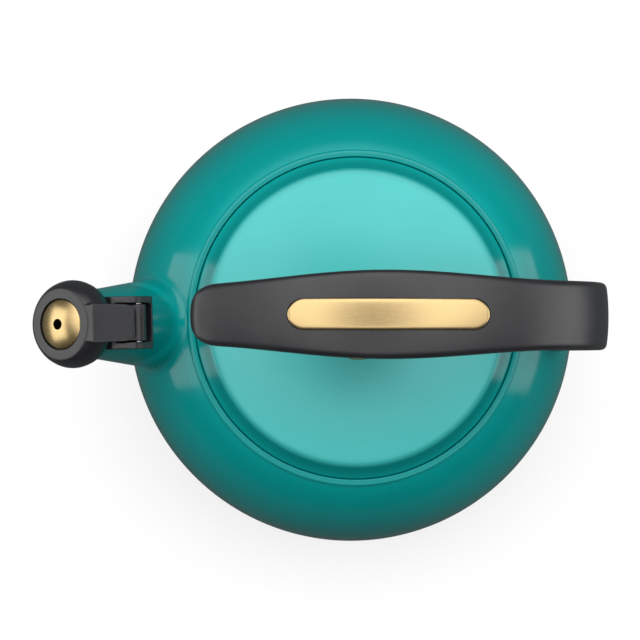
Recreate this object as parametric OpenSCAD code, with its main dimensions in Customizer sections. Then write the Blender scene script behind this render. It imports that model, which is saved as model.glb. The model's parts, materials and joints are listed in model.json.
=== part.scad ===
// Stovetop whistling kettle.
// Origin: centre of the underside of the base. +Z up, -X toward the spout,
// +X toward the root of the handle. Millimetres.

/* [Body] */
// Largest radius of the body
body_r = 95.5; // [79:0.5:115]
// Height of the widest ring above the base
equator_z = 47; // [38:0.5:57]
// Radius of the flat part of the base
base_r = 71; // [59:0.5:76]
// Rise of the shoulder from the widest ring to the rim
shoulder_rise = 46; // [38:0.5:56]
// Angle of the shoulder's arc at the rim
shoulder_angle = 61; // [50:1:70]
// Thickness of the enamelled sheet
sheet_t = 1.5; // [1.2:0.1:1.8]
// Width of the turned-in edge that carries the base pan
base_flange = 4; // [3:0.5:6]
// Clearance round the edge of the base pan
pan_gap = 0.3; // [0.2:0.1:0.5]

/* [Rim and lid] */
// Outer radius of the raised rim
rim_r = 69.7; // [66:0.1:74]
// Width of the raised rim
rim_w = 2.8; // [2.2:0.1:3.4]
// Height of the rim above the edge of the shoulder
rim_rise = 2; // [1.6:0.1:2.4]
// Depth of the ledge below the top of the rim
ledge_depth = 3; // [2.5:0.1:3.4]
// Width of the ledge that carries the lid
ledge_w = 5.9; // [5:0.1:7]
// Length of the neck below the ledge
neck_len = 4; // [3:0.5:6]
// Clearance between the lid and the rim
lid_gap = 0.3; // [0.2:0.05:0.5]
// Thickness of the lid's sheet
lid_t = 1.2; // [1:0.1:1.5]
// Radius of the bend where the sloping wall meets the disc
lid_bend_r = 60.6; // [57:0.1:62]
// Rise of the sloping wall
lid_wall_rise = 5; // [4:0.25:7]
// Rise of the domed disc above the bend
lid_dome = 6.4; // [5:0.2:9]
// Depth of the collar below the ledge
collar_depth = 8; // [6:0.5:12]
// Thickness of the collar
collar_t = 0.8; // [0.6:0.1:1.2]
// Clearance of the collar in the neck
collar_gap = 0.5; // [0.3:0.1:0.8]

/* [Knob] */
// Largest radius of the knob, over its trim ring
knob_r = 17.4; // [14:0.2:21]
// Height of the knob above the lid
knob_h = 24; // [20:0.5:29]
// Radius of the foot of the knob
knob_foot_r = 9; // [7.5:0.1:11]
// Height of the trim ring
ring_h = 3; // [2.4:0.1:3.6]
// Width of the trim ring
ring_w = 2; // [1.5:0.1:2.5]
// Radius of the threaded insert
insert_r = 4; // [3.4:0.1:5]
// Radius of the knob screw
knob_screw_r = 2; // [1.6:0.1:2.5]

/* [Spout] */
// How far the centre of the tip stands outside the body
spout_reach = 19.5; // [14:0.5:23]
// Turn of the spout about the body's axis, away from the handle's line
spout_turn = 1.5; // [0:0.5:3]
// Height of the centre of the tip above the widest ring
spout_rise = 73; // [66:0.5:80]
// Lean of the spout from the vertical
spout_lean = 36.2; // [32:0.2:40]
// Outer radius of the tip
tip_r = 12.5; // [11.5:0.1:13.5]
// Half angle of the taper
spout_taper = 7; // [5.5:0.1:8]
// Radius of the opening from the body into the spout
spout_hole_r = 13; // [10:0.5:14]
// Width of the lip beyond the spout's outer face
lip_w = 0.6; // [0.4:0.1:0.8]
// Height of the lip above the end of the spout
lip_h = 1; // [0.8:0.1:1.4]

/* [Whistle] */
// Largest radius of the whistle cap
cap_r = 17.75; // [16.8:0.05:20]
// Height of the cap's face above the end of the spout
cap_face = 8.6; // [8:0.1:11]
// Radius of the cap's flat face
cap_face_r = 14.55; // [13:0.05:16]
// Depth of the skirt below the end of the spout
cap_skirt = 3.8; // [3:0.1:4.6]
// Radius of the domed disc
disc_r = 10.2; // [9:0.1:11.5]
// Rise of the domed disc
disc_dome = 2.4; // [1.6:0.1:3]
// Thickness of both discs
disc_t = 0.6; // [0.4:0.1:0.8]
// Radius of the hole in the domed disc
hole_r = 2.1; // [1.5:0.1:2.6]
// Radius of the hole in the inner disc
inner_hole_r = 1.6; // [1.2:0.1:2.2]
// Clearance between the seal and the lip
seal_gap = 0.3; // [0.2:0.05:0.4]
// Thickness of the seal
seal_t = 1.3; // [1:0.1:1.6]

/* [Whistle hinge] */
// Distance of the hinge from the spout's axis
hinge_u = 19.2; // [18.8:0.1:21]
// Distance of the hinge below the end of the spout
hinge_s = 17.3; // [15:0.1:20]
// Radius of the arm's knuckle
knuckle_r = 3.4; // [3:0.1:3.6]
// Width of the arm
arm_w = 15; // [12:0.1:16]
// Side clearance of the arm in its saddle
arm_gap = 0.35; // [0.3:0.05:0.5]
// Thickness of the saddle's cheeks
cheek_t = 2.8; // [2.2:0.1:3.4]
// Radius of the hinge pin
pin_r = 1.5; // [1.2:0.1:1.8]
// Running clearance of the pin
pin_gap = 0.05; // [0.02:0.01:0.1]
// Radius of the rivets that hold the saddle
rivet_r = 1.2; // [0.9:0.1:1.3]

/* [Handle] */
// Height of the top of the handle above the rim
grip_rise = 90; // [78:0.5:105]
// Distance of the crest from the body's axis
crest_x = 5; // [0:0.5:10]
// Radius of the front arch
arch_r = 135; // [120:1:165]
// Angle of the front arch
arch_angle = 29.5; // [24:0.5:33]
// Height of the rear bend
bend_h = 48.5; // [42:0.5:56]
// How far the handle stands out behind the body
grip_overhang = 4.2; // [2:0.1:6]
// Radius of the rear leg's inward curve
leg_r = 160; // [140:1:190]
// Thickness of the grip at its front end
grip_t_front = 12; // [10.5:0.25:13.5]
// Thickness of the grip at its foot
grip_t_foot = 14; // [12.5:0.25:16]
// Width at the middle of the grip
grip_w_mid = 34.2; // [29:0.2:41]
// Width at the front end
grip_w_front = 23.3; // [20:0.1:28]
// Width at the rear leg
grip_w_rear = 27.2; // [24.6:0.1:32.6]
// Corner radius of the rear edge
rear_corner = 5; // [3:0.25:7]
// Length of the inlaid plate
plate_l = 74; // [61.5:0.5:89]
// Width of the inlaid plate
plate_w = 11.9; // [10:0.1:14.2]
// Depth of the plate's pocket
plate_depth = 1; // [0.8:0.1:1.4]
// How far the plate stands proud
plate_proud = 0.5; // [0.3:0.1:0.8]

/* [Handle bracket] */
// Thickness of the welded plate
bracket_t = 2; // [1.5:0.1:2.6]
// Half angle that the welded plate spans round the body
bracket_half = 6.5; // [5:0.1:7]
// Thickness of the tang
tang_t = 3; // [2.4:0.1:3.6]
// Width of the tang
tang_w = 16; // [13:0.2:19]
// Length of the tang above its middle
tang_up = 30; // [25:0.5:36]
// Radius of the handle screws
screw_r = 2; // [1.6:0.1:2.4]
// Clearance between the grip and what it covers
grip_gap = 0.3; // [0.2:0.05:0.4]

/* [Hidden] */
$fn = 96;

enamel = "#1c9f97";
phenolic = "#303236";
gold = "#c9a866";
steel = "#b9bcc0";
silicone = "#5a5c5e";

// ---- body profile ----
rings = 20;
shoulder_z = equator_z + shoulder_rise;
rim_z = shoulder_z + rim_rise;
ledge_z = rim_z - ledge_depth;
rim_in = rim_r - rim_w;
mouth_r = rim_in - ledge_w;
// The shoulder is an arc of an ellipse from the widest ring to the rim.
arc_c = (rim_r - body_r * cos(shoulder_angle)) / (1 - cos(shoulder_angle));
arc_a = body_r - arc_c;
arc_b = shoulder_rise / sin(shoulder_angle);

function unit(v) = v / norm(v);
// A point of the shoulder at angle t, moved outward by off.
function shoulder_at(t, off = 0) =
    [arc_c + arc_a * cos(t), equator_z + arc_b * sin(t)]
    + off * unit([cos(t) / arc_a, sin(t) / arc_b]);
// A point of the lower wall, which is a quarter of an ellipse, moved outward by off.
function lower_at(t, off = 0) =
    [base_r + (body_r - base_r) * cos(t), equator_z - equator_z * sin(t)]
    + off * unit([cos(t) / (body_r - base_r), -sin(t) / equator_z]);
function wall(off) = concat(
    [for (i = [rings:-1:1]) lower_at(90 * i / rings, off)],
    [for (i = [0:rings]) shoulder_at(shoulder_angle * i / rings, off)]);

// Everything inside the body's outer face, moved outward by off.
module body_space(off) {
    rotate_extrude() polygon(concat([[0, -off]], wall(off), [[0, shoulder_z]]));
}

// ---- spout frame ----
tip = [-(body_r + spout_reach), 0, equator_z + spout_rise];
cone_len = 80;
function spout_r(s) = tip_r - s * tan(spout_taper);

// Local +Z runs out along the spout from the end of its tube; local +X is its upper side.
module at_spout() {
    rotate([0, 0, spout_turn]) translate(tip) rotate([0, -spout_lean, 0]) children();
}
// A plate in the plane of the spout's axis, w wide, from an outline of [x, z] points.
module side_plate(points, w) {
    rotate([90, 0, 0]) linear_extrude(w, center = true) polygon(points);
}

module body_shell() {
    inner_top = ledge_z - sheet_t;
    inner = [for (p = wall(-sheet_t)) if (p[1] > sheet_t && p[1] < inner_top) p];
    rim_round = 0.7;
    color(enamel) difference() {
        rotate_extrude() polygon(concat(
            [[base_r - base_flange, 0]], wall(0),
            [[rim_r, rim_z - rim_round], [rim_r - rim_round, rim_z],
             [rim_in + rim_round, rim_z], [rim_in, rim_z - rim_round],
             [rim_in, ledge_z], [mouth_r, ledge_z], [mouth_r, ledge_z - neck_len],
             [mouth_r + sheet_t, ledge_z - neck_len], [mouth_r + sheet_t, inner_top]],
            [for (i = [len(inner) - 1:-1:0]) inner[i]],
            [[base_r, sheet_t], [base_r - base_flange, sheet_t]]));
        at_spout() translate([0, 0, -cone_len])
            cylinder(h = cone_len / 2, r = spout_hole_r);
    }
}

// The pan lies on the turned-in edge and fills it flush underneath.
module base_pan() {
    step_r = base_r - base_flange - pan_gap;
    color(steel) rotate_extrude() polygon([
        [0, 0], [step_r, 0], [step_r, sheet_t], [base_r - 2 * pan_gap, sheet_t],
        [base_r - 2 * pan_gap, 2 * sheet_t], [0, 2 * sheet_t]]);
}

module spout() {
    color(enamel) difference() {
        at_spout() translate([0, 0, -cone_len])
            cylinder(h = cone_len, r1 = spout_r(-cone_len), r2 = tip_r);
        at_spout() translate([0, 0, -cone_len - 1])
            cylinder(h = cone_len + 2, r1 = spout_r(-cone_len - 1) - sheet_t,
                     r2 = spout_r(1) - sheet_t);
        body_space(0);
        at_spout() rivet_places() rotate([0, -90, 0])
            cylinder(h = 4 * sheet_t, r = rivet_r + pin_gap, center = true);
    }
}

module spout_lip() {
    lap = 1.8;
    color(steel) at_spout() rotate_extrude() polygon([
        [tip_r - sheet_t, 0], [tip_r - sheet_t, lip_h], [tip_r + lip_w, lip_h],
        [tip_r + lip_w, -lap], [spout_r(-lap) + pin_gap, -lap], [tip_r + pin_gap, 0]]);
}

// ---- lid ----
lid_seat = 0.1;
lid_z = ledge_z + lid_seat;
lid_r = rim_in - lid_gap;
lid_edge = 2.6;
bend_z = lid_z + lid_edge + lid_wall_rise;
lid_top = bend_z + lid_dome;
dome_r = (pow(lid_bend_r, 2) + pow(lid_dome, 2)) / (2 * lid_dome);
bend_round = 1.2;
// Height of the disc's upper face at radius r.
function dome_z(r) = lid_top - dome_r + sqrt(pow(dome_r, 2) - pow(r, 2));
// Height of the disc's lower face at radius r.
function lid_under(r) = dome_z(r) - lid_t;
knob_hole_r = knob_screw_r + 0.3;

module lid() {
    disc = [for (i = [0:12]) knob_hole_r + (lid_bend_r - bend_round - knob_hole_r) * i / 12];
    wall_drop = lid_t * 1.4;
    color(enamel) rotate_extrude() polygon(concat(
        [for (r = disc) [r, dome_z(r)]],
        [[lid_bend_r - bend_round / 4, bend_z - bend_round / 8],
         [lid_bend_r + bend_round / 2, bend_z - 0.6 * bend_round],
         [lid_r - bend_round, lid_z + lid_edge + bend_round],
         [lid_r, lid_z + lid_edge], [lid_r, lid_z], [lid_r - lid_t - 0.6, lid_z],
         [lid_r - lid_t - 0.6, lid_z + 0.8],
         [lid_bend_r - lid_t / 2, bend_z - wall_drop]],
        [for (i = [12:-1:0]) [disc[i], lid_under(disc[i])]]));
}

module lid_collar() {
    r_out = mouth_r - collar_gap;
    flange_r = min(lid_bend_r, r_out) - bend_round;
    flange = [for (i = [0:3]) flange_r - 1.6 * i];
    shoulder = lid_under(flange_r) - (r_out - flange_r) * 1.3;
    color(steel) rotate_extrude() polygon(concat(
        [[r_out, ledge_z - collar_depth], [r_out, shoulder]],
        [for (r = flange) [r, lid_under(r) - 0.02]],
        [for (i = [3:-1:0]) [flange[i], lid_under(flange[i]) - collar_t]],
        [[r_out - collar_t, shoulder - collar_t], [r_out - collar_t, ledge_z - collar_depth]]));
}

// ---- knob ----
knob_top = lid_top + knob_h;
ring_z = knob_top - 9;
ring_in = knob_r - ring_w;
insert_len = 12;
washer_r = 7;
washer_t = 0.9;
washer_z = lid_under(washer_r) - washer_t;

module knob() {
    crown = knob_top - ring_z - ring_h;
    color(phenolic) difference() {
        rotate_extrude() polygon(concat(
            [[0, lid_top], [knob_foot_r, lid_top], [knob_foot_r, lid_top + 1.5],
             [knob_foot_r - 0.8, lid_top + 4], [knob_foot_r - 0.4, lid_top + 7],
             [knob_foot_r + 2, lid_top + 10.5], [ring_in - 0.2, ring_z - 2],
             [knob_r - 0.6, ring_z], [ring_in, ring_z], [ring_in, ring_z + ring_h],
             [knob_r - 0.5, ring_z + ring_h]],
            [for (i = [1:9]) [(knob_r - 0.5) * cos(10 * i),
                              ring_z + ring_h + crown * sin(10 * i)]]));
        translate([0, 0, lid_top - 1]) cylinder(h = insert_len + 2, r = insert_r + 0.02);
    }
}

module knob_ring() {
    color(gold) rotate_extrude() polygon([
        [ring_in + 0.02, ring_z + 0.02], [knob_r - 0.3, ring_z + 0.02], [knob_r, ring_z + 0.4],
        [knob_r, ring_z + ring_h - 0.4], [knob_r - 0.3, ring_z + ring_h - 0.02],
        [ring_in + 0.02, ring_z + ring_h - 0.02]]);
}

module knob_insert() {
    color(gold) difference() {
        translate([0, 0, lid_top + 0.5]) cylinder(h = insert_len - 0.5, r = insert_r);
        translate([0, 0, lid_top]) cylinder(h = insert_len - 2, r = knob_screw_r + 0.02);
    }
}

module knob_screw() {
    head_h = 2.2;
    color(steel) {
        translate([0, 0, washer_z - 0.5]) cylinder(h = lid_top + insert_len - 3 - washer_z,
                                                   r = knob_screw_r);
        translate([0, 0, washer_z - head_h]) cylinder(h = head_h, r = 2 * knob_screw_r);
    }
}

module knob_washer() {
    color(steel) translate([0, 0, washer_z]) difference() {
        cylinder(h = washer_t, r = washer_r);
        translate([0, 0, -1]) cylinder(h = washer_t + 2, r = knob_hole_r);
    }
}

// ---- whistle ----
ledge_s = cap_face - 1.2;
chamber_r = disc_r - 0.8;
seal_s = lip_h + seal_gap;
seal_r = tip_r + lip_w + 0.6;
pivot = [hinge_u, 0, -hinge_s];
saddle_w = arm_w + 2 * (arm_gap + cheek_t);
barrel_gap = 0.3;
// Underside of the arm and floor of the saddle's slot.
slot_u = hinge_u - knuckle_r - barrel_gap;
saddle_front = -6;
saddle_back = -(hinge_s + 7.7);
back_wall = 2.2;

module at_pivot() {
    at_spout() translate(pivot) rotate([90, 0, 0]) children();
}
// The two rivets stand on the upper side of the spout, in front of the knuckle.
module rivet_places() {
    for (side = [-1, 1])
        translate([tip_r, side * 4.5, -hinge_s + knuckle_r + 3.6]) children();
}

module whistle_saddle() {
    top_u = hinge_u + knuckle_r - 0.4;
    color(phenolic) difference() {
        at_spout() side_plate([
            [tip_r - 1, saddle_front], [hinge_u - 4.2, saddle_front],
            [hinge_u - 0.6, saddle_front - 4.4], [top_u - 0.6, saddle_front - 7.2],
            [top_u, -hinge_s + 1.5], [top_u, saddle_back + 2.4],
            [top_u - 1.6, saddle_back], [tip_r - 1, saddle_back]],
            saddle_w);
        // Slot for the arm, open toward the cap.
        at_spout() translate([slot_u, -arm_w / 2 - arm_gap, saddle_back + back_wall])
            cube([20, arm_w + 2 * arm_gap, 40]);
        at_spout() translate([0, 0, -cone_len])
            cylinder(h = cone_len + 1, r1 = spout_r(-cone_len), r2 = spout_r(1));
        at_pivot() cylinder(h = 2 * saddle_w, r = pin_r + 0.02, center = true);
        at_spout() rivet_places() rotate([0, 90, 0])
            cylinder(h = 20, r = rivet_r + 0.02, center = true);
        at_spout() rivet_places() translate([slot_u - tip_r - 0.9, 0, 0]) rotate([0, 90, 0])
            cylinder(h = 4, r = 2 * rivet_r + 0.02);
    }
}

module saddle_rivets() {
    color(steel) at_spout() rivet_places() rotate([0, 90, 0]) {
        translate([0, 0, -2.4]) cylinder(h = slot_u - tip_r + 2, r = rivet_r);
        translate([0, 0, slot_u - tip_r - 0.9]) cylinder(h = 0.8, r = 2 * rivet_r);
    }
}

module hinge_pin() {
    color(steel) at_pivot() cylinder(h = saddle_w - 0.6, r = pin_r, center = true);
}

module whistle_cap() {
    arm_top = cap_r - 0.4;
    color(phenolic) difference() {
        union() {
            at_spout() rotate_extrude() polygon([
                [0, -cap_skirt], [cap_r - 0.9, -cap_skirt], [cap_r - 0.2, -cap_skirt / 2],
                [cap_r, 0], [cap_r - 0.15, cap_face - 5.6], [cap_r - 0.85, cap_face - 2.8],
                [(cap_r + cap_face_r) / 2, cap_face - 0.9], [cap_face_r, cap_face],
                [0, cap_face]]);
            at_spout() side_plate([
                [cap_r - 4.5, cap_face - 3.4], [arm_top - 1.2, cap_face - 4.6],
                [arm_top + 0.4, cap_face - 6.6], [hinge_u + knuckle_r, -hinge_s],
                [hinge_u - knuckle_r, -hinge_s], [hinge_u - knuckle_r, -cap_skirt],
                [cap_r - 4.5, -cap_skirt + 1]], arm_w);
            at_pivot() cylinder(h = arm_w, r = knuckle_r, center = true);
        }
        at_spout() rotate_extrude() polygon([
            [0, cap_face + 1], [disc_r + 0.2, cap_face + 1], [disc_r + 0.2, ledge_s],
            [chamber_r, ledge_s], [chamber_r, seal_s + seal_t + disc_t],
            [disc_r + 0.2, seal_s + seal_t + disc_t], [disc_r + 0.2, seal_s + seal_t],
            [seal_r + 0.1, seal_s + seal_t], [seal_r + 0.1, seal_s - 0.3],
            [cap_r - 2.6, seal_s - 0.8], [cap_r - 2, -cap_skirt], [cap_r - 2, -cap_skirt - 2],
            [0, -cap_skirt - 2]]);
        at_pivot() cylinder(h = 2 * arm_w, r = pin_r + pin_gap, center = true);
    }
}

// A disc of thickness disc_t whose middle rises by rise, from s at its edge.
module domed_disc(s, rise, bore) {
    curve_r = (pow(disc_r, 2) + pow(rise, 2)) / (2 * rise);
    function z(r) = s + rise - curve_r + sqrt(pow(curve_r, 2) - pow(r, 2));
    radii = [for (i = [0:10]) bore + (disc_r - bore) * i / 10];
    at_spout() rotate_extrude() polygon(concat(
        [for (r = radii) [r, z(r) + disc_t]],
        [for (i = [10:-1:0]) [radii[i], z(radii[i])]]));
}

module whistle_disc_outer() {
    color(gold) domed_disc(ledge_s + 0.02, disc_dome, hole_r);
}

module whistle_disc_inner() {
    color(steel) at_spout() translate([0, 0, seal_s + seal_t]) difference() {
        cylinder(h = disc_t - 0.02, r = disc_r);
        translate([0, 0, -1]) cylinder(h = disc_t + 2, r = inner_hole_r);
    }
}

module whistle_seal() {
    color(silicone) at_spout() translate([0, 0, seal_s]) difference() {
        cylinder(h = seal_t, r = seal_r);
        translate([0, 0, -1]) cylinder(h = seal_t + 2, r = chamber_r);
    }
}

// ---- handle ----
// Path of the grip's middle in the XZ plane: front arch, rear bend, leg.
crest_z = rim_z + grip_rise;
mid_t = (grip_t_front + grip_t_foot) / 2;
axis_z = crest_z - mid_t / 2;
front_x = crest_x - arch_r * sin(arch_angle) - grip_t_front / 2;
bend_a = body_r + grip_overhang - mid_t / 2 - crest_x;
leg_x = crest_x + bend_a;
leg_z = axis_z - bend_h;
leg_sweep = asin(min(0.9, (leg_z - equator_z - 14) / leg_r));
arch_n = 16;
bend_n = 22;
leg_n = 10;
// Each station is [point, normal, thickness].
grip_path = concat(
    [for (i = [0:arch_n]) let (t = -arch_angle * (1 - i / arch_n))
        [[crest_x + arch_r * sin(t), axis_z - arch_r * (1 - cos(t))], [sin(t), cos(t)],
         grip_t_front + (mid_t - grip_t_front) * i / arch_n]],
    [for (i = [1:bend_n]) let (t = 90 * i / bend_n)
        [[crest_x + bend_a * sin(t), leg_z + bend_h * cos(t)],
         unit([sin(t) / bend_a, cos(t) / bend_h]), mid_t]],
    [for (i = [1:leg_n]) let (t = leg_sweep * i / leg_n)
        [[leg_x - leg_r * (1 - cos(t)), leg_z - leg_r * sin(t)], [cos(t), -sin(t)],
         mid_t + (grip_t_foot - mid_t) * i / leg_n]]);
// The upper (side = 1) or lower (side = -1) edge, moved outward by off.
function grip_edge(side, off = 0) =
    [for (s = grip_path) s[0] + side * (s[2] / 2 + off) * s[1]];
function reversed(v) = [for (i = [len(v) - 1:-1:0]) v[i]];
// The front end is a half round, from the lower edge to the upper one.
nose = [for (t = [30:30:150]) grip_path[0][0]
    + grip_t_front / 2 * [-sin(t) * cos(arch_angle) + cos(t) * sin(arch_angle),
                          -sin(t) * sin(arch_angle) - cos(t) * cos(arch_angle)]];

// Half the width of the grip at x: widest near the crest, easing to both ends.
wide_x = crest_x + 3;
blend_front = 80;
blend_rear = 70;
function ease(d, len) = (1 - cos(180 * min(1, d / len))) / 2;
function half_w(x) = (x < wide_x
    ? grip_w_mid - (grip_w_mid - grip_w_front) * ease(wide_x - x, blend_front)
    : grip_w_mid - (grip_w_mid - grip_w_rear) * ease(x - wide_x, blend_rear)) / 2;
// Rounds an end: d is the distance from the end, r the corner radius.
function end_cut(d, r) = d >= r ? 0 : r - sqrt(pow(r, 2) - pow(r - d, 2));
rear_x = leg_x + mid_t / 2;
front_corner = grip_w_front / 2;
plan_x = concat(
    [for (t = [0:10:90]) front_x + front_corner * (1 - cos(t))],
    [for (i = [1:30]) front_x + front_corner
        + (rear_x - rear_corner - front_x - front_corner) * i / 30],
    [for (t = [75:-15:0]) rear_x - rear_corner * (1 - cos(t))]);
function plan_y(x) = half_w(x) - end_cut(x - front_x, front_corner)
    - end_cut(rear_x - x, rear_corner);

module stadium(l, w) {
    translate([-(l - w) / 2, 0]) circle(d = w);
    translate([(l - w) / 2, 0]) circle(d = w);
    square([l - w, w], center = true);
}
// The band of the grip's top between two depths, cut to a stadium in plan.
module inlay(l, w, from, to) {
    first = arch_n + bend_n - 4;
    low = grip_edge(1, from);
    high = grip_edge(1, to);
    intersection() {
        rotate([90, 0, 0]) linear_extrude(2 * w, center = true)
            polygon(concat([for (i = [0:first]) high[i]], [for (i = [first:-1:0]) low[i]]));
        translate([plate_x, 0, leg_z]) linear_extrude(crest_z) stadium(l, w);
    }
}
plate_x = crest_x + 3.4;
stud_r = 1.5;
stud_x = [for (side = [-1, 1]) plate_x + side * (plate_l / 2 - 10)];
// Height of the grip's middle above the point x of the arch or the bend.
function axis_at(x) = x < crest_x
    ? axis_z - arch_r + sqrt(pow(arch_r, 2) - pow(x - crest_x, 2))
    : leg_z + bend_h * sqrt(1 - pow((x - crest_x) / bend_a, 2));

// ---- bracket ----
// The plate's middle lies where the leg's middle meets the shoulder.
foot_t = 38;
plate_lo = foot_t - 8;
plate_hi = foot_t + 10;
foot = shoulder_at(foot_t);
tang_lean = atan2(leg_x - foot[0] - 0.5, leg_z - foot[1]);

module shoulder_band(lo, hi, inner, outer, half) {
    n = 8;
    rotate([0, 0, -half]) rotate_extrude(angle = 2 * half) polygon(concat(
        [for (i = [0:n]) shoulder_at(lo + (hi - lo) * i / n, inner)],
        [for (i = [n:-1:0]) shoulder_at(lo + (hi - lo) * i / n, outer)]));
}
// Local +Z runs up the tang from the middle of the plate.
module at_tang() {
    translate([foot[0], 0, foot[1]]) rotate([0, tang_lean, 0]) children();
}
screw_up = [14, 34];
tang_len = leg_z - foot[1] - 2;

// The tang ends inside the thickness of the welded plate.
module tang(gap) {
    difference() {
        at_tang() translate([-tang_t / 2 - gap, -tang_w / 2 - gap, -8])
            cube([tang_t + 2 * gap, tang_w + 2 * gap, 8 + tang_len + gap]);
        body_space(bracket_t / 3);
    }
}

module handle_bracket() {
    color(steel) difference() {
        union() {
            shoulder_band(plate_lo, plate_hi, 0.02, bracket_t, bracket_half);
            tang(0);
        }
        at_tang() for (up = screw_up) translate([0, 0, up]) rotate([0, 90, 0])
            cylinder(h = 20, r = screw_r + 0.02, center = true);
    }
}

module handle_screws() {
    color(steel) at_tang() for (up = screw_up) translate([0, 0, up]) rotate([0, 90, 0]) {
        translate([0, 0, -3.4]) cylinder(h = 7.6, r = screw_r);
        translate([0, 0, -5.4]) cylinder(h = 2.2, r = 1.8 * screw_r);
    }
}

module handle_grip() {
    color(phenolic) difference() {
        intersection() {
            rotate([90, 0, 0]) linear_extrude(2 * grip_w_mid, center = true)
                polygon(concat(grip_edge(1), reversed(grip_edge(-1)), nose));
            translate([0, 0, equator_z]) linear_extrude(crest_z)
                polygon(concat([for (x = plan_x) [x, plan_y(x)]],
                               [for (i = [len(plan_x) - 1:-1:0])
                                   [plan_x[i], -plan_y(plan_x[i])]]));
        }
        body_space(grip_gap);
        shoulder_band(plate_lo - 1, plate_hi + 1, 0, bracket_t + grip_gap, bracket_half + 0.4);
        tang(0.15);
        inlay(plate_l + 0.3, plate_w + 0.3, -plate_depth, grip_t_foot);
        for (x = stud_x) translate([x, 0, axis_at(x) - 1.5])
            cylinder(h = grip_t_foot, r = stud_r + 0.05);
        at_tang() for (up = screw_up) translate([0, 0, up]) rotate([0, 90, 0]) {
            translate([0, 0, -4]) cylinder(h = 8.5, r = screw_r + 0.1);
            translate([0, 0, -20]) cylinder(h = 16.8, r = 1.8 * screw_r + 0.2);
        }
    }
}

module handle_plate() {
    color(gold) {
        inlay(plate_l, plate_w, 0.02 - plate_depth, plate_proud);
        for (x = stud_x) translate([x, 0, axis_at(x) - 1])
            cylinder(h = mid_t / 2 + 1 - plate_depth + 0.3, r = stud_r);
    }
}

body_shell();
base_pan();
spout();
spout_lip();
lid();
lid_collar();
knob();
knob_ring();
knob_insert();
knob_screw();
knob_washer();
whistle_saddle();
saddle_rivets();
hinge_pin();
whistle_cap();
whistle_disc_outer();
whistle_disc_inner();
whistle_seal();
handle_grip();
handle_plate();
handle_bracket();
handle_screws();
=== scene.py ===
"""Looks of the stovetop whistling kettle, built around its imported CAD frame."""
import json
import math

import bmesh
import bpy
from mathutils import Matrix, Vector


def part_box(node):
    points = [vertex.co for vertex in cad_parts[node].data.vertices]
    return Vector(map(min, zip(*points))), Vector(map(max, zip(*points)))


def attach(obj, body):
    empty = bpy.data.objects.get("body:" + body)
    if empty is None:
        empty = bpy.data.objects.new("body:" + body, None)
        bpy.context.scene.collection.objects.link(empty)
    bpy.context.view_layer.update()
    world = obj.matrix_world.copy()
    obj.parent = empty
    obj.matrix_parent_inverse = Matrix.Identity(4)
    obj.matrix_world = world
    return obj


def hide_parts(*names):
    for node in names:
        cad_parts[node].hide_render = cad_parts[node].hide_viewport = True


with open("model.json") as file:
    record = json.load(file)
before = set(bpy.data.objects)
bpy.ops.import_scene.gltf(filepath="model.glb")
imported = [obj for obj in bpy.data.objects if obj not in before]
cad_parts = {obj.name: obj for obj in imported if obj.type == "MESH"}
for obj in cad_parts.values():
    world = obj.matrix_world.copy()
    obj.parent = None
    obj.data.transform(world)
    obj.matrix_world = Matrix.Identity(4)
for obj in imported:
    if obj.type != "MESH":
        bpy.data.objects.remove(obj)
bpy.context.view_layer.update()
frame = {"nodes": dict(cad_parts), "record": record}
scene = bpy.context.scene
MM = 0.001


# ---------------------------------------------------------------- camera
def make_camera():
    """Looks almost straight down, from a little toward the spout."""
    data = bpy.data.cameras.new("camera")
    data.sensor_width = 36.0
    data.lens = 145.5
    data.clip_start = 0.05
    data.clip_end = 20.0
    cam = bpy.data.objects.new("camera", data)
    scene.collection.objects.link(cam)
    place = Vector((-0.051, -0.017, 1.165))
    aim = Vector((-0.0133, -0.0002, 0.048))
    back = (place - aim).normalized()
    right = Vector((0, 1, 0)).cross(back).normalized()
    up = back.cross(right)
    turn = Matrix((right, up, back)).transposed().to_4x4()
    cam.matrix_world = Matrix.Translation(place) @ turn
    scene.camera = cam


make_camera()


# ---------------------------------------------------------------- materials
def srgb(r, g, b):
    """A display colour of 0 to 255 as linear values with full alpha."""
    def lin(v):
        v /= 255
        return v / 12.92 if v <= 0.04045 else ((v + 0.055) / 1.055) ** 2.4
    return (lin(r), lin(g), lin(b), 1.0)


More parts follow.
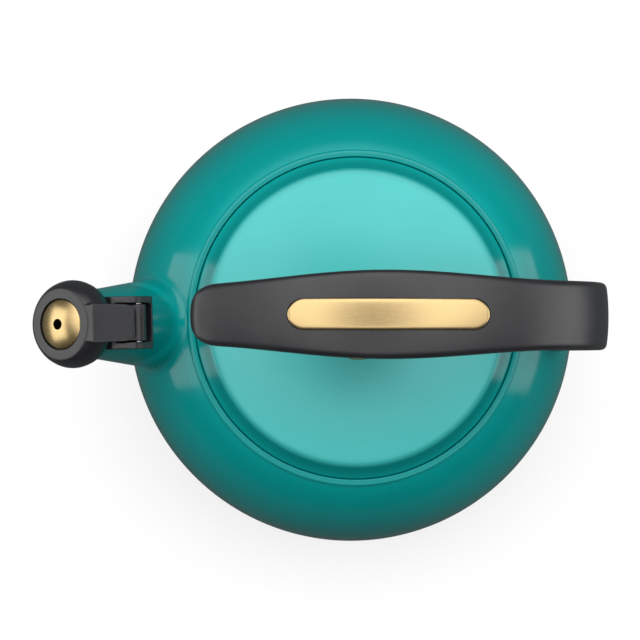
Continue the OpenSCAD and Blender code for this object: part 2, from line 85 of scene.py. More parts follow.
class Mat:
    """A node material with one Principled shader and short helpers."""

    def __init__(self, name):
        self.mat = bpy.data.materials.new(name)
        self.mat.use_nodes = True
        self.tree = self.mat.node_tree
        self.shader = self.tree.nodes["Principled BSDF"]
        self.coord = self.add("ShaderNodeTexCoord").outputs["Object"]

    def add(self, kind, **props):
        node = self.tree.nodes.new(kind)
        for key, value in props.items():
            setattr(node, key, value)
        return node

    def link(self, a, b):
        self.tree.links.new(a, b)

    def set(self, **values):
        for key, value in values.items():
            self.shader.inputs[key.replace("_", " ")].default_value = value
        return self

    def scaled(self, x, y, z):
        mapping = self.add("ShaderNodeMapping")
        mapping.inputs["Scale"].default_value = (x, y, z)
        self.link(self.coord, mapping.inputs["Vector"])
        return mapping.outputs["Vector"]

    def noise(self, scale, detail=3.0, rough=0.55, vector=None):
        node = self.add("ShaderNodeTexNoise")
        node.inputs["Scale"].default_value = scale
        node.inputs["Detail"].default_value = detail
        node.inputs["Roughness"].default_value = rough
        self.link(vector or self.coord, node.inputs["Vector"])
        return node.outputs["Fac"]

    def ramp(self, fac, stops):
        node = self.add("ShaderNodeValToRGB")
        marks = node.color_ramp.elements
        while len(marks) < len(stops):
            marks.new(0.5)
        for mark, (place, colour) in zip(marks, stops):
            mark.position = place
            mark.color = colour if len(colour) == 4 else (*colour, 1.0)
        self.link(fac, node.inputs["Fac"])
        return node.outputs["Color"]

    def range(self, fac, low, high, to_low, to_high):
        node = self.add("ShaderNodeMapRange")
        for key, value in zip(("From Min", "From Max", "To Min", "To Max"),
                              (low, high, to_low, to_high)):
            node.inputs[key].default_value = value
        self.link(fac, node.inputs["Value"])
        return node.outputs["Result"]

    def math(self, operation, a, b):
        node = self.add("ShaderNodeMath", operation=operation)
        for socket, value in zip(node.inputs, (a, b)):
            if isinstance(value, bpy.types.NodeSocket):
                self.link(value, socket)
            else:
                socket.default_value = value
        return node.outputs["Value"]

    def bump(self, height, strength, distance):
        node = self.add("ShaderNodeBump")
        node.inputs["Strength"].default_value = strength
        node.inputs["Distance"].default_value = distance
        self.link(height, node.inputs["Height"])
        if self.shader.inputs["Normal"].is_linked:
            self.link(self.shader.inputs["Normal"].links[0].from_socket, node.inputs["Normal"])
        self.link(node.outputs["Normal"], self.shader.inputs["Normal"])
        return self


def mix_rgb(m, fac, a, b, blend="MIX"):
    """Mixes two colours; fac, a and b are sockets or values."""
    node = m.add("ShaderNodeMixRGB", blend_type=blend)
    for key, value in (("Fac", fac), ("Color1", a), ("Color2", b)):
        if isinstance(value, bpy.types.NodeSocket):
            m.link(value, node.inputs[key])
        else:
            node.inputs[key].default_value = value
    return node.outputs["Color"]


def enamel():
    """Glossy vitreous enamel whose colour runs from a light crown to a deeper lower wall: partly the
    glaze's own ombré, partly painted light on top and painted shade low down.
    """
    m = Mat("enamel")
    split = m.add("ShaderNodeSeparateXYZ")
    m.link(m.coord, split.inputs["Vector"])
    # Colour by height, darker towards the bottom: partly the glaze's ombré, partly painted shade on the
    # lower wall, which gets less light, and a band just below the crown painted darker as shade.
    wall = m.ramp(m.range(split.outputs["Z"], 0.0, 0.1, 0.0, 1.0),
                  [(0.0, srgb(0, 46, 45)), (0.47, srgb(0, 74, 72)), (0.62, srgb(0, 116, 113)),
                   (0.9, srgb(0, 136, 133)), (0.94, srgb(4, 150, 147)), (0.97, srgb(0, 122, 119))])
    # The lid's crown, inside its bend, is painted lightest: partly the glaze's ombré, partly painted
    # light where the overhead light falls on it.
    radius = m.add("ShaderNodeVectorMath", operation="LENGTH")
    m.link(m.scaled(1, 1, 0), radius.inputs[0])
    crown = m.math("MULTIPLY", m.range(split.outputs["Z"], 0.0984, 0.1002, 0.0, 1.0),
                   m.range(radius.outputs["Value"], 0.072, 0.074, 1.0, 0.0))
    enamel_ombre_and_painted_light = mix_rgb(m, crown, wall, srgb(66, 184, 181))
    mottled = mix_rgb(m, m.range(m.noise(260, 4), 0.35, 0.7, 0.0, 0.03), enamel_ombre_and_painted_light,
                      srgb(24, 160, 155))
    clouded = mix_rgb(m, m.range(m.noise(26, 3), 0.3, 0.75, 0.0, 0.1), mottled,
                      srgb(0, 92, 92))
    m.link(clouded, m.shader.inputs["Base Color"])
    m.link(m.range(m.noise(90, 2), 0.3, 0.7, 0.11, 0.17), m.shader.inputs["Roughness"])
    m.set(IOR=1.38)
    m.bump(m.noise(150, 2), 0.03, 0.0006)
    m.bump(m.noise(900, 2), 0.02, 0.00015)
    return m.mat


def phenolic():
    """Black moulded phenolic with a fine matt grain."""
    m = Mat("phenolic")
    base = mix_rgb(m, m.range(m.noise(70, 3), 0.35, 0.7, 0.0, 1.0), srgb(27, 27, 30),
                   srgb(34, 34, 37))
    specks = mix_rgb(m, m.range(m.noise(2600, 2), 0.55, 0.8, 0.0, 0.4), base,
                     srgb(64, 64, 68))
    m.link(specks, m.shader.inputs["Base Color"])
    m.link(m.range(m.noise(1800, 3), 0.3, 0.7, 0.3, 0.38), m.shader.inputs["Roughness"])
    m.set(IOR=1.5)
    m.bump(m.noise(2400, 3), 0.22, 0.00012)
    m.bump(m.noise(700, 2), 0.06, 0.0002)
    return m.mat


def gold():
    """Satin gold coating with a faint directional polish."""
    m = Mat("gold")
    streaks = m.noise(1.0, 4, 0.6, m.scaled(300, 2600, 300))
    tint = mix_rgb(m, m.range(streaks, 0.3, 0.7, 0.0, 1.0), srgb(180, 155, 110),
                   srgb(185, 161, 115))
    m.link(tint, m.shader.inputs["Base Color"])
    m.link(m.range(streaks, 0.3, 0.7, 0.24, 0.28), m.shader.inputs["Roughness"])
    m.set(Metallic=1.0)
    return m.mat


def steel(name, bright, rough, scale):
    """Stainless steel with a turned or rolled finish."""
    m = Mat(name)
    grain = m.noise(1.0, 4, 0.6, m.scaled(*scale))
    tint = mix_rgb(m, grain, (bright * 0.86, bright * 0.87, bright * 0.88, 1),
                   (bright, bright, bright, 1))
    m.link(tint, m.shader.inputs["Base Color"])
    m.link(m.range(grain, 0.3, 0.7, rough, rough + 0.12), m.shader.inputs["Roughness"])
    m.set(Metallic=1.0)
    m.bump(grain, 0.08, 0.00008)
    return m.mat


def silicone():
    """Soft grey silicone."""
    m = Mat("silicone")
    tint = mix_rgb(m, m.noise(500, 3), srgb(52, 52, 54), srgb(66, 66, 68))
    m.link(tint, m.shader.inputs["Base Color"])
    m.link(m.range(m.noise(1200, 2), 0.3, 0.7, 0.55, 0.68), m.shader.inputs["Roughness"])
    m.bump(m.noise(1500, 2), 0.1, 0.0001)
    return m.mat


MATERIALS = {
    "enamel": enamel(),
    "phenolic": phenolic(),
    "gold": gold(),
    "steel": steel("steel", 0.62, 0.24, (900, 900, 120)),
    "base_steel": steel("base_steel", 0.5, 0.3, (1400, 90, 1400)),
    "silicone": silicone(),
}


# ---------------------------------------------------------------- mesh helpers
def new_piece(name, bm, body, slot, *nodes):
    """Turns a bmesh in millimetres into a smooth piece that stands for CAD nodes."""
    bmesh.ops.recalc_face_normals(bm, faces=bm.faces)
    mesh = bpy.data.meshes.new(name)
    bm.to_mesh(mesh)
    bm.free()
    mesh.transform(Matrix.Scale(MM, 4))
    obj = bpy.data.objects.new(name, mesh)
    scene.collection.objects.link(obj)
    mesh.materials.append(MATERIALS[slot])
    mesh.shade_smooth()
    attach(obj, body)
    if nodes:
        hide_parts(*nodes)
    return obj


def grid(bm, rows, closed_rows=False, closed_cols=True):
    """Faces between rows of equally many points."""
    verts = [[bm.verts.new(p) for p in row] for row in rows]
    count = len(rows)
    width = len(rows[0])
    for i in range(count if closed_rows else count - 1):
        a, b = verts[i], verts[(i + 1) % count]
        for j in range(width if closed_cols else width - 1):
            k = (j + 1) % width
            bm.faces.new((a[j], a[k], b[k], b[j]))
    return verts


def filleted(points, steps=5):
    """A 2D outline whose corners (x, y, radius) are rounded; closed."""
    out = []
    count = len(points)
    for i, (x, y, r) in enumerate(points):
        p = Vector((x, y))
        before = Vector(points[i - 1][:2]) - p
        after = Vector(points[(i + 1) % count][:2]) - p
        reach = min(r, before.length * 0.49, after.length * 0.49)
        if reach <= 0:
            out.append((x, y))
            continue
        a = p + before.normalized() * reach
        b = p + after.normalized() * reach
        for k in range(steps + 1):
            t = k / steps
            q = a * (1 - t) ** 2 + p * 2 * t * (1 - t) + b * t * t
            out.append((q.x, q.y))
    return out


def lathe(bm, outline, place=Matrix.Identity(4), segments=192):
    """Revolves a closed outline of (radius, z) about the local Z axis."""
    rows = []
    for i in range(segments):
        turn = 2 * math.pi * i / segments
        c, s = math.cos(turn), math.sin(turn)
        rows.append([place @ Vector((r * c, r * s, z)) for r, z in outline])
    grid(bm, rows, closed_rows=True)
    bmesh.ops.remove_doubles(bm, verts=bm.verts, dist=0.0004)
    return bm


def cut(piece, bm):
    """Takes the solid in bm, in millimetres, out of a piece."""
    bmesh.ops.recalc_face_normals(bm, faces=bm.faces)
    mesh = bpy.data.meshes.new("cutter")
    bm.to_mesh(mesh)
    bm.free()
    mesh.transform(Matrix.Scale(MM, 4))
    tool = bpy.data.objects.new("cutter", mesh)
    scene.collection.objects.link(tool)
    modifier = piece.modifiers.new("cut", "BOOLEAN")
    modifier.operation = "DIFFERENCE"
    modifier.solver = "EXACT"
    modifier.object = tool
    apply_all(piece)
    bpy.data.objects.remove(tool)


def apply_all(piece):
    """Bakes a piece's modifiers into its mesh."""
    bpy.context.view_layer.update()
    shape = piece.evaluated_get(bpy.context.evaluated_depsgraph_get())
    baked = bpy.data.meshes.new_from_object(shape)
    piece.modifiers.clear()
    piece.data = baked


def soften(piece, voxel, passes):
    """Fuses a piece into one skin and rounds its edges, as a moulding has them."""
    fuse = piece.modifiers.new("fuse", "REMESH")
    fuse.mode = "VOXEL"
    fuse.voxel_size = voxel * MM
    fuse.use_smooth_shade = True
    relax = piece.modifiers.new("relax", "SMOOTH")
    relax.factor = 0.5
    relax.iterations = passes
    apply_all(piece)


def sharpen(piece, degrees=38):
    """Keeps edges steeper than the angle crisp in a smooth-shaded mesh."""
    piece.data.set_sharp_from_angle(angle=math.radians(degrees))


# ---------------------------------------------------------------- body
def span(node):
    """A node's box in millimetres."""
    low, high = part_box(node)
    return low / MM, high / MM


body_low, body_high = span("body_shell")
BODY_R = (body_high.y - body_low.y) / 2
RIM_Z = body_high.z
EQUATOR_Z = 47.0
BASE_R = 71.0
RIM_R = 69.7
RIM_IN = 66.9
SHOULDER_Z = RIM_Z - 2.0
LEDGE_Z = RIM_Z - 3.0
MOUTH_R = 61.0
SHEET = 1.5
SHOULDER_ANGLE = math.radians(61)
ARC_C = (RIM_R - BODY_R * math.cos(SHOULDER_ANGLE)) / (1 - math.cos(SHOULDER_ANGLE))
ARC_A = BODY_R - ARC_C
ARC_B = (SHOULDER_Z - EQUATOR_Z) / math.sin(SHOULDER_ANGLE)


def shoulder_at(t, off=0.0):
    """A point (r, z) of the shoulder's ellipse, moved outward by off."""
    normal = Vector((math.cos(t) / ARC_A, math.sin(t) / ARC_B)).normalized()
    return (ARC_C + ARC_A * math.cos(t) + off * normal.x,
            EQUATOR_Z + ARC_B * math.sin(t) + off * normal.y)


def lower_at(t, off=0.0):
    """A point (r, z) of the lower wall's ellipse, moved outward by off."""
    wide = BODY_R - BASE_R
    normal = Vector((math.cos(t) / wide, -math.sin(t) / EQUATOR_Z)).normalized()
    return (BASE_R + wide * math.cos(t) + off * normal.x,
            EQUATOR_Z - EQUATOR_Z * math.sin(t) + off * normal.y)


def body_wall(off, count=36):
    """The wall's outline from the base to the end of the shoulder."""
    low = [lower_at(math.pi / 2 * i / count, off) for i in range(count, 0, -1)]
    high = [shoulder_at(SHOULDER_ANGLE * i / count, off) for i in range(count)]
    return low + high


# The spout's frame: local +Z runs out along it from its end, local +X is its upper side.
LEAN = math.radians(36.2)
TURN = math.radians(1.5)
TIP = Vector((-(BODY_R + 19.5), 0, EQUATOR_Z + 73.0))
SPOUT = Matrix.Rotation(TURN, 4, "Z") @ Matrix.Translation(TIP) @ Matrix.Rotation(-LEAN, 4, "Y")
TIP_R = 12.5
TAPER = math.tan(math.radians(7))
SPOUT_HOLE_R = 13.0
FLARE = 3.8


def make_body():
    last = shoulder_at(SHOULDER_ANGLE)
    rim = filleted([
        (*shoulder_at(SHOULDER_ANGLE * 0.985), 0), (last[0] + 0.15, last[1] - 0.1, 0.8),
        (RIM_R - 0.1, RIM_Z, 1.3), (RIM_IN, RIM_Z, 0.6), (RIM_IN, LEDGE_Z, 0.4),
        (MOUTH_R, LEDGE_Z, 0.8), (MOUTH_R, LEDGE_Z - 4, 0.3),
        (MOUTH_R + SHEET, LEDGE_Z - 4, 0.3), (MOUTH_R + SHEET, LEDGE_Z - SHEET, 0)])
    inner = [p for p in body_wall(-SHEET) if SHEET < p[1] < LEDGE_Z - SHEET]
    foot = [(BASE_R, SHEET), (BASE_R - 4, SHEET), (BASE_R - 4, 0)]
    bm = lathe(bmesh.new(), body_wall(0) + rim + inner[::-1] + foot, segments=256)
    body = new_piece("body", bm, "kettle", "enamel", "body_shell")
    hole = lathe(bmesh.new(), [(0, -80), (SPOUT_HOLE_R, -80), (SPOUT_HOLE_R, -40), (0, -40)], SPOUT, 96)
    cut(body, hole)
    sharpen(body, 50)


def surface_r(z):
    """Radius of the body's outer face at height z."""
    if z >= EQUATOR_Z:
        s = min(1.0, (z - EQUATOR_Z) / ARC_B)
        return ARC_C + ARC_A * math.sqrt(1 - s * s)
    s = min(1.0, (EQUATOR_Z - z) / EQUATOR_Z)
    return BASE_R + (BODY_R - BASE_R) * math.sqrt(1 - s * s)


def on_surface(p, off):
    """The point moved straight away from the body's middle onto its outer face."""
    centre = Vector((0, 0, EQUATOR_Z - 8))
    ray = p - centre
    low, high = 0.2, 2.0
    for _ in range(30):
        mid = (low + high) / 2
        q = centre + ray * mid
        if math.hypot(q.x, q.y) < surface_r(q.z):
            low = mid
        else:
            high = mid
    q = centre + ray * low
    return q + ray.normalized() * off


def make_spout():
    """Tapered tube whose root flares into the shoulder on a concave fillet."""
    segments, steps = 144, 12
    columns = []
    for i in range(segments):
        turn = 2 * math.pi * i / segments
        way = Vector((math.cos(turn), math.sin(turn), 0))

        def side(s, inset=0.0):
            r = TIP_R - s * TAPER - inset
            return SPOUT @ Vector((way.x * r, way.y * r, s))

        low, high = -80.0, -10.0
        for _ in range(30):
            mid = (low + high) / 2
            p = side(mid)
            inside = math.hypot(p.x, p.y) < surface_r(p.z) and p.z < SHOULDER_Z + 3
            low, high = (mid, high) if inside else (low, mid)
        meet = side(low)
        start = side(low + FLARE)
        outward = SPOUT.to_3x3() @ way
        foot = on_surface(meet + outward * FLARE * 0.8, 0.03)
        tuck = on_surface(meet + outward * FLARE * 0.86, -0.25)
        curve = [start * (1 - t) ** 2 + meet * 2 * t * (1 - t) + foot * t * t
                 for t in (k / steps for k in range(steps + 1))]
        wall = [side(low + FLARE + (-0.45 - low - FLARE) * k / 8) for k in range(8, 0, -1)]
        lip = [side(0, 1.05), side(0, 0.45)]
        bore = [side(low + 1.0, SHEET), side(low / 2, SHEET), side(-0.4, SHEET)]
        columns.append([on_surface(side(low, SHEET), -0.6)] + bore + lip + wall + curve + [tuck])
    bm = bmesh.new()
    grid(bm, columns, closed_rows=True, closed_cols=True)
    spout = new_piece("spout_tube", bm, "kettle", "enamel", "spout")
    sharpen(spout, 60)


make_body()
make_spout()


# ---------------------------------------------------------------- lid and knob
lid_low, lid_high = span("lid")
LID_R = (lid_high.y - lid_low.y) / 2
LID_TOP = lid_high.z
LID_Z = lid_low.z
BEND_R = 60.6
LID_DOME = 6.4
BEND_Z = LID_TOP - LID_DOME
DOME = LID_TOP - BEND_Z
DOME_R = (BEND_R ** 2 + DOME ** 2) / (2 * DOME)


def dome_z(r):
    """Height of the lid's upper face at radius r."""
    return LID_TOP - DOME_R + math.sqrt(DOME_R ** 2 - r ** 2)


def make_lid():
    top = [(r, dome_z(r)) for r in [2.4 + 55 * i / 24 for i in range(25)]]
    edge = filleted([
        (58.2, dome_z(58.2), 0), (BEND_R, BEND_Z + 0.05, 1.9), (LID_R - 0.25, LID_Z + 2.5, 0.5),
        (LID_R, LID_Z + 2.1, 0.2), (LID_R, LID_Z, 0.2), (LID_R - 1.7, LID_Z, 0.2),
        (BEND_R - 0.9, BEND_Z - 1.4, 1.0)], 7)
    under = [(r, dome_z(r) - 1.2) for r in [2.4 + 56 * i / 12 for i in range(12, -1, -1)]]
    bm = lathe(bmesh.new(), top + edge[1:] + under, segments=256)
    lid = new_piece("lid_dome", bm, "lid", "enamel", "lid")
    sharpen(lid, 50)


def make_knob():
    low, high = span("knob")
    ring_low, ring_high = span("knob_ring")
    ring_r = (ring_high.y - ring_low.y) / 2
    base, top = low.z, high.z
    crown_r = ring_r - 0.5
    crown = top - ring_high.z
    dome = [(crown_r * math.cos(t), ring_high.z + 0.05 + crown * math.sin(t))
            for t in (math.pi / 2 * i / 14 for i in range(1, 15))]
    stem = filleted([
        (4.1, base, 0), (9, base, 0.4), (9, base + 1.5, 0.6), (8.2, base + 4, 2),
        (8.6, base + 7, 2), (11, base + 10.5, 2), (ring_r - 2.2, ring_low.z - 2, 1),
        (ring_r - 0.7, ring_low.z - 0.1, 0.4), (ring_r - 2, ring_low.z, 0),
        (ring_r - 2, ring_high.z, 0), (crown_r, ring_high.z + 0.05, 0)])
    inside = [(0, base + 13), (4.1, base + 13)]
    bm = lathe(bmesh.new(), stem + dome + inside, segments=128)
    sharpen(new_piece("knob_grip", bm, "lid", "phenolic", "knob"), 40)
    ring = filleted([(ring_r - 2, ring_low.z, 0), (ring_r, ring_low.z, 0.7),
                     (ring_r, ring_high.z, 0.7), (ring_r - 2, ring_high.z, 0)])
    bm = lathe(bmesh.new(), ring, segments=128)
    sharpen(new_piece("knob_band", bm, "lid", "gold", "knob_ring"), 40)


make_lid()
make_knob()


# ---------------------------------------------------------------- whistle
CAP_R = 17.75
CAP_FACE = 8.6
HINGE = Vector((19.2, 0, -17.3))
KNUCKLE_R = 3.4
ARM_W = 15.0
ARM_GAP = 0.35
CHEEK_T = 2.8
FACE_R = 14.55


def rod(bm, centre, radius, length, place=SPOUT, segments=64):
    """A round bar along local Y."""
    turn = Matrix.Translation(centre) @ Matrix.Rotation(math.pi / 2, 4, "X")
    half = length / 2
    return lathe(bm, filleted([(0, -half, 0), (radius, -half, 0.5), (radius, half, 0.5),
                               (0, half, 0)], 3), place @ turn, segments)


def prism(bm, outline, low, high, place, upright=False):
    """An outline of (x, z) drawn out along Y, or of (x, y) drawn up along Z."""
    ends = []
    for far in (low, high):
        ends.append([bm.verts.new(place @ (Vector((a, b, far)) if upright
                                           else Vector((a, far, b)))) for a, b in outline])
    count = len(outline)
    for i in range(count):
        k = (i + 1) % count
        bm.faces.new((ends[0][i], ends[0][k], ends[1][k], ends[1][i]))
    bm.faces.new(ends[0][::-1])
    bm.faces.new(ends[1])
    return bm


def arm_outline(half_root, half_end, length, round_end):
    """Plan of the arm's flat tongue, from the cap (x = 0) to its rounded end."""
    return filleted([(0, -half_root, 0), (length, -half_end, round_end),
                     (length, half_end, round_end), (0, half_root, 0)], 8)


def make_cap():
    bm = bmesh.new()
    lathe(bm, filleted([
        (0, -2.0, 0), (15.2, -2.0, 0), (15.8, -3.8, 0.2), (CAP_R - 0.9, -3.8, 0.8),
        (CAP_R, -0.6, 3), (CAP_R, 2.2, 3), (CAP_R - 1.2, 6.0, 2.5), (FACE_R, CAP_FACE, 0.9),
        (0, CAP_FACE, 0)], 6), SPOUT, 160)
    # The tongue runs down the upper side of the spout to the knuckle.
    start = Vector((CAP_R - 0.9, 0, CAP_FACE - 0.15))
    end = Vector((HINGE.x + 2.6, 0, HINGE.z + 5.6))
    along = (end - start).normalized()
    normal = Vector((-along.z, 0, along.x))
    normal = normal if normal.x > 0 else -normal
    across = normal.cross(along)
    place = SPOUT @ Matrix.Translation(start) @ Matrix((along, across, normal)).transposed().to_4x4()
    length = (end - start).length
    prism(bm, arm_outline(ARM_W / 2 + 0.35, ARM_W / 2 - 0.15, length, 4.5), -3.6, 0.0, place, True)
    rod(bm, HINGE, KNUCKLE_R - 0.05, ARM_W)
    web = [(12.0, CAP_FACE - 0.2), (start.x - 0.2, CAP_FACE - 0.2), (HINGE.x + 0.6, HINGE.z + 3),
           (HINGE.x, HINGE.z), (HINGE.x - 3.2, HINGE.z), (HINGE.x - 3.2, -3.6),
           (15.9, -3.4), (15.9, 3.0), (12.0, 4.0)]
    prism(bm, web, -ARM_W / 2 + 0.2, ARM_W / 2 - 0.2, SPOUT)
    cap = new_piece("whistle_head", bm, "whistle", "phenolic", "whistle_cap")
    soften(cap, 0.26, 7)
    pocket = lathe(bmesh.new(), filleted([
        (0, CAP_FACE + 2, 0), (10.55, CAP_FACE + 2, 0), (10.45, CAP_FACE - 1.25, 0),
        (9.4, CAP_FACE - 1.25, 0), (9.4, 3.3, 0), (10.45, 3.25, 0), (10.45, 2.6, 0),
        (13.8, 2.6, 0), (13.8, 1.0, 0), (15.2, 0.6, 0), (15.75, -3.7, 0), (15.75, -6, 0),
        (0, -6, 0)]), SPOUT, 128)
    cut(cap, pocket)
    pin_hole = rod(bmesh.new(), HINGE, 1.56, ARM_W + 6)
    cut(cap, pin_hole)
    sharpen(cap, 45)


def make_disc():
    """Domed disc with a dark, rolled hole in the middle."""
    rise, edge_r, bore, base = 2.4, 10.2, 2.1, CAP_FACE - 1.15
    curve_r = (edge_r ** 2 + rise ** 2) / (2 * rise)

    def z(r):
        return base + rise - curve_r + math.sqrt(curve_r ** 2 - r ** 2)

    radii = [bore + 0.3 + (edge_r - 0.35 - bore - 0.3) * i / 16 for i in range(17)]
    outer = [(r, z(r) + 0.6) for r in radii]
    rolled = [(edge_r, z(edge_r) + 0.35), (edge_r, z(edge_r))]
    inner = [(r, z(r)) for r in radii[::-1]]
    lip = [(bore + 0.05, z(bore) + 0.05), (bore, z(bore) + 0.3), (bore + 0.08, z(bore) + 0.52)]
    bm = lathe(bmesh.new(), outer + rolled + inner + lip, SPOUT, 128)
    sharpen(new_piece("whistle_dome", bm, "whistle", "gold", "whistle_disc_outer"), 50)


def make_saddle():
    """Rounded bracket with cheeks either side of the knuckle and a wall behind it."""
    half = ARM_W / 2 + ARM_GAP + CHEEK_T
    slot_u = HINGE.x - KNUCKLE_R - 0.2
    outline = filleted([
        (9.5, -6, 0), (HINGE.x - 4.2, -6, 1.5), (HINGE.x - 0.6, -10.4, 2.5),
        (HINGE.x + 2.4, -13.2, 2), (HINGE.x + 3.0, HINGE.z + 1.5, 2),
        (HINGE.x + 3.0, HINGE.z - 5.6, 1.2), (HINGE.x + 1.6, HINGE.z - 7.9, 1),
        (9.5, HINGE.z - 7.9, 0)])
    bm = prism(bmesh.new(), outline, -half, half, SPOUT)
    saddle = new_piece("saddle_body", bm, "kettle", "phenolic", "whistle_saddle")
    slot = prism(bmesh.new(), filleted([
        (HINGE.z - 5.5, -half + CHEEK_T, 2.4), (10, -half + CHEEK_T, 0), (10, half - CHEEK_T, 0),
        (HINGE.z - 5.5, half - CHEEK_T, 2.4)], 6), slot_u, slot_u + 20,
        SPOUT @ Matrix(((0, 0, 1, 0), (0, 1, 0, 0), (1, 0, 0, 0), (0, 0, 0, 1))), True)
    cut(saddle, slot)
    soften(saddle, 0.24, 10)
    tube = lathe(bmesh.new(), [(0, -60), (TIP_R + 60 * TAPER, -60), (TIP_R - 5 * TAPER, 5),
                               (0, 5)], SPOUT, 128)
    cut(saddle, tube)
    sharpen(saddle, 50)


make_cap()
make_disc()
make_saddle()


# ---------------------------------------------------------------- handle
grip_high = span("handle_grip")[1]
CREST_X = 5.0
ARCH_R = 135.0
ARCH_ANGLE = math.radians(29.5)
T_FRONT, T_FOOT = 12.0, 14.0
T_MID = (T_FRONT + T_FOOT) / 2
AXIS_Z = RIM_Z + 90.0 - T_MID / 2
BEND_A = grip_high.x - T_MID / 2 - CREST_X
BEND_H = 48.5
LEG_X = CREST_X + BEND_A
LEG_Z = AXIS_Z - BEND_H
LEG_R = 160.0
LEG_END = 0.44
W_MID, W_FRONT, W_REAR = 34.2, 23.3, 27.2
WIDE_X = CREST_X + 3
PLATE_X = CREST_X + 3.4
PLATE_L, PLATE_W = 74.0, 11.9
POCKET_L, POCKET_W = 74.7, 12.5


def grip_station(v):
    """Middle, normal and thickness of the grip; v runs 0 to 1, 1 to 2 and 2 to 3
    over the front arch, the rear bend and the leg."""
    if v <= 1:
        t = -ARCH_ANGLE * (1 - v)
        middle = Vector((CREST_X + ARCH_R * math.sin(t), 0, AXIS_Z - ARCH_R * (1 - math.cos(t))))
        return middle, Vector((math.sin(t), 0, math.cos(t))), T_FRONT + (T_MID - T_FRONT) * v
    if v <= 2:
        t = math.pi / 2 * (v - 1)
        middle = Vector((CREST_X + BEND_A * math.sin(t), 0, LEG_Z + BEND_H * math.cos(t)))
        return middle, Vector((math.sin(t) / BEND_A, 0, math.cos(t) / BEND_H)).normalized(), T_MID
    t = LEG_END * (v - 2)
    middle = Vector((LEG_X - LEG_R * (1 - math.cos(t)), 0, LEG_Z - LEG_R * math.sin(t)))
    return middle, Vector((math.cos(t), 0, -math.sin(t))), T_MID + (T_FOOT - T_MID) * (v - 2)


def grip_width(x):
    """Widest near the crest, easing to both ends."""
    end, reach = (W_FRONT, 80) if x < WIDE_X else (W_REAR, 70)
    share = (1 - math.cos(math.pi * min(1, abs(x - WIDE_X) / reach))) / 2
    return W_MID - (W_MID - end) * share


def section(half_w, half_t, top_r, low_r, crown):
    """Rounded cross-section (across, out) with a slightly crowned top."""
    outline = filleted([
        (-half_w, -half_t, low_r), (half_w, -half_t, low_r), (half_w, 0, 0),
        (half_w - 0.1, half_t - crown, top_r), (half_w * 0.5, half_t - crown * 0.22, 3),
        (0, half_t, 4), (-half_w * 0.5, half_t - crown * 0.22, 3),
        (-half_w + 0.1, half_t - crown, top_r), (-half_w, 0, 0)], 6)
    return outline


def make_grip():
    """Swept moulding with a rounded, free front end."""
    rows = []
    # Half-round front end, drawn in from the full section.
    middle, normal, thick = grip_station(0)
    back = Vector((-normal.z, 0, normal.x))
    corner = W_FRONT / 2
    full = grip_width(middle.x) / 2
    length = T_FRONT / 2
    for i in range(15):
        out = length * math.cos(math.pi / 2 * i / 14)
        rise = math.sqrt(max(0.0, 1 - (out / length) ** 2))
        reach = corner - min(corner, length - out)
        wide = full - corner + math.sqrt(max(0.0, corner ** 2 - reach ** 2))
        wide = max(wide, 1.2)
        half_t = max(0.5, thick / 2 * rise)
        shape = section(wide, half_t, min(4.2, half_t * 0.9), min(4.2, half_t * 0.9),
                        min(1.0, half_t * 0.2))
        rows.append([middle + back * out + normal * h + Vector((0, w, 0)) for w, h in shape])
    steps = [i / 48 for i in range(1, 49)] + [1 + i / 60 for i in range(1, 61)] \
        + [2 + i / 28 for i in range(1, 29)]
    for v in steps:
        middle, normal, thick = grip_station(v)
        wide = grip_width(middle.x) / 2
        # The plan's round end reaches past the nose, into the first stretch of the arch.
        from_end = middle.x - grip_station(0)[0].x + length
        if from_end < corner:
            wide -= corner - math.sqrt(corner ** 2 - (corner - from_end) ** 2)
        shape = section(wide, thick / 2, 4.4, 4.8, 1.0)
        rows.append([middle + normal * h + Vector((0, w, 0)) for w, h in shape])
    bm = bmesh.new()
    verts = grid(bm, rows)
    bm.faces.new(verts[0])
    bm.faces.new(verts[-1][::-1])
    grip = new_piece("grip", bm, "kettle", "phenolic", "handle_grip")
    # The foot is cut to the shoulder, and the plate's pocket is sunk into the top.
    foot = lathe(bmesh.new(), [(0, -1)] + body_wall(0.15) + [(0, SHOULDER_Z)], segments=256)
    cut(grip, foot)
    cut(grip, inlay(POCKET_L, POCKET_W, -1.15, 9.0))
    sharpen(grip, 55)


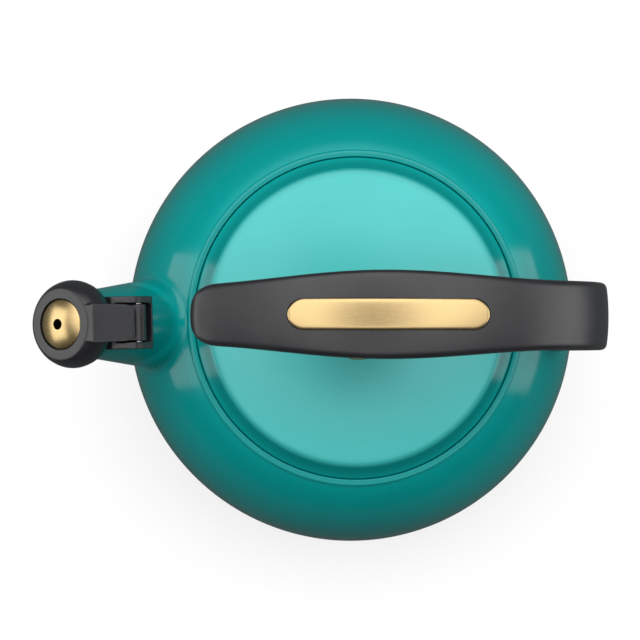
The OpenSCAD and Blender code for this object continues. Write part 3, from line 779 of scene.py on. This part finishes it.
def inlay(length, width, low, high, round_top=0.0, lift=0.0):
    """Stadium-shaped slice that follows the top of the grip, from low to high."""
    across, along = 14, 96
    half = length / 2

    def surface(x, y, off):
        v = (math.asin((x - CREST_X) / ARCH_R) / ARCH_ANGLE + 1) if x < CREST_X \
            else 1 + math.asin((x - CREST_X) / BEND_A) / (math.pi / 2)
        middle, normal, thick = grip_station(v)
        fall = lift * (2 * y / width) ** 2
        return middle + normal * (thick / 2 + off - fall) + Vector((0, y, 0))

    bm = bmesh.new()
    tops, lows = [], []
    for i in range(along + 1):
        x = -half * math.cos(math.pi * i / along)
        cap = max(0.0, abs(x) - (half - width / 2))
        half_w = max(0.05, math.sqrt(max(0.0, (width / 2) ** 2 - cap ** 2)))
        for side, off in ((tops, high), (lows, low)):
            row = []
            for j in range(across + 1):
                y = -half_w * math.cos(math.pi * j / across)
                edge = min(half_w - abs(y), half - abs(x))
                drop = round_top * (1 - min(1.0, edge / 0.9)) ** 2 if off == high else 0.0
                row.append(bm.verts.new(surface(PLATE_X + x, y, off - drop)))
            side.append(row)
    for i in range(along):
        for j in range(across):
            bm.faces.new((tops[i][j], tops[i][j + 1], tops[i + 1][j + 1], tops[i + 1][j]))
            bm.faces.new((lows[i][j], lows[i + 1][j], lows[i + 1][j + 1], lows[i][j + 1]))
        for j in (0, across):
            bm.faces.new((tops[i][j], tops[i + 1][j], lows[i + 1][j], lows[i][j]))
    for i in (0, along):
        for j in range(across):
            bm.faces.new((tops[i][j], tops[i][j + 1], lows[i][j + 1], lows[i][j]))
    return bm


def make_plate():
    bm = inlay(PLATE_L, PLATE_W, -1.0, 0.45, 0.35, 0.25)
    sharpen(new_piece("plate", bm, "kettle", "gold", "handle_plate"), 50)


make_grip()
make_plate()

# The CAD pieces that stay take their finish from the same materials.
for entry in frame["record"]["subparts"]:
    node = frame["nodes"][entry["node"]]
    finish = MATERIALS[entry["material_slot"]]
    for slot_index in range(max(1, len(node.material_slots))):
        if node.material_slots:
            node.material_slots[slot_index].material = finish
        else:
            node.data.materials.append(finish)


# ---------------------------------------------------------------- floor and light
def make_floor():
    """White to the eye with a faint shadow; grey to the light it throws back."""
    bpy.ops.mesh.primitive_plane_add(size=6.0)
    floor = bpy.context.object
    floor.name = "floor"
    mat = bpy.data.materials.new("floor_white")
    mat.use_nodes = True
    tree = mat.node_tree
    seen = tree.nodes["Principled BSDF"]
    seen.inputs["Base Color"].default_value = (0.95, 0.95, 0.95, 1)
    seen.inputs["Roughness"].default_value = 0.9
    seen.inputs["Specular IOR Level"].default_value = 0.1
    glow = tree.nodes.new("ShaderNodeEmission")
    glow.inputs["Strength"].default_value = 1.0
    glow.inputs["Color"].default_value = (1, 1, 1, 1)
    white = tree.nodes.new("ShaderNodeMixShader")
    white.inputs[0].default_value = 0.7
    tree.links.new(seen.outputs[0], white.inputs[1])
    tree.links.new(glow.outputs[0], white.inputs[2])
    grey = tree.nodes.new("ShaderNodeBsdfDiffuse")
    grey.inputs["Color"].default_value = (0.12, 0.13, 0.13, 1)
    path = tree.nodes.new("ShaderNodeLightPath")
    either = tree.nodes.new("ShaderNodeMixShader")
    tree.links.new(path.outputs["Is Camera Ray"], either.inputs[0])
    tree.links.new(grey.outputs[0], either.inputs[1])
    tree.links.new(white.outputs[0], either.inputs[2])
    tree.links.new(either.outputs[0], tree.nodes["Material Output"].inputs["Surface"])
    floor.data.materials.append(mat)


def softbox(name, place, aim, wide, tall, power):
    """A white area lamp at a place, turned toward what it lights."""
    data = bpy.data.lights.new(name, "AREA")
    data.shape = "RECTANGLE"
    data.size = wide
    data.size_y = tall
    data.energy = power
    lamp = bpy.data.objects.new(name, data)
    scene.collection.objects.link(lamp)
    way = Vector(aim) - Vector(place)
    lamp.matrix_world = Matrix.Translation(place) @ way.to_track_quat("-Z", "Y").to_matrix().to_4x4()


def make_light():
    """A soft sky, brighter on the far side, with two crisp side softboxes."""
    world = bpy.data.worlds.new("world")
    scene.world = world
    world.use_nodes = True
    tree = world.node_tree
    coord = tree.nodes.new("ShaderNodeTexCoord")
    split = tree.nodes.new("ShaderNodeSeparateXYZ")
    tree.links.new(coord.outputs["Generated"], split.inputs["Vector"])

    def ramp(fac, stops):
        node = tree.nodes.new("ShaderNodeValToRGB")
        marks = node.color_ramp.elements
        while len(marks) < len(stops):
            marks.new(0.5)
        for mark, (place, value) in zip(marks, stops):
            mark.position = place
            mark.color = (value, value, value, 1)
        tree.links.new(fac, node.inputs["Fac"])
        return node.outputs["Color"]

    def multiply(a, b):
        node = tree.nodes.new("ShaderNodeMath")
        node.operation = "MULTIPLY"
        tree.links.new(a, node.inputs[0])
        if isinstance(b, bpy.types.NodeSocket):
            tree.links.new(b, node.inputs[1])
        else:
            node.inputs[1].default_value = b
        return node.outputs["Value"]

    # A wide soft bank, a little beyond straight up, with a darker gap at the zenith.
    bank = tree.nodes.new("ShaderNodeVectorMath")
    bank.operation = "DOT_PRODUCT"
    bank.inputs[1].default_value = (0.0, math.sin(math.radians(21)), math.cos(math.radians(21)))
    tree.links.new(coord.outputs["Generated"], bank.inputs[0])
    cap = ramp(bank.outputs["Value"], [(0.0, 0.025), (0.55, 0.06), (0.7, 0.45), (0.85, 1.0)])
    gap = ramp(split.outputs["Z"], [(0.955, 1.0), (0.993, 0.28)])
    back = tree.nodes["Background"]
    back.inputs["Color"].default_value = (1, 1, 1, 1)
    tree.links.new(multiply(multiply(cap, gap), 2.6), back.inputs["Strength"])
    softbox("left", (-0.95, 0.0, 0.34), (0, 0, 0.08), 0.8, 0.62, 3.8)
    softbox("right", (0.95, 0.0, 0.34), (0, 0, 0.08), 0.8, 0.62, 3.8)


make_floor()
make_light()
scene.view_settings.view_transform = "Standard"
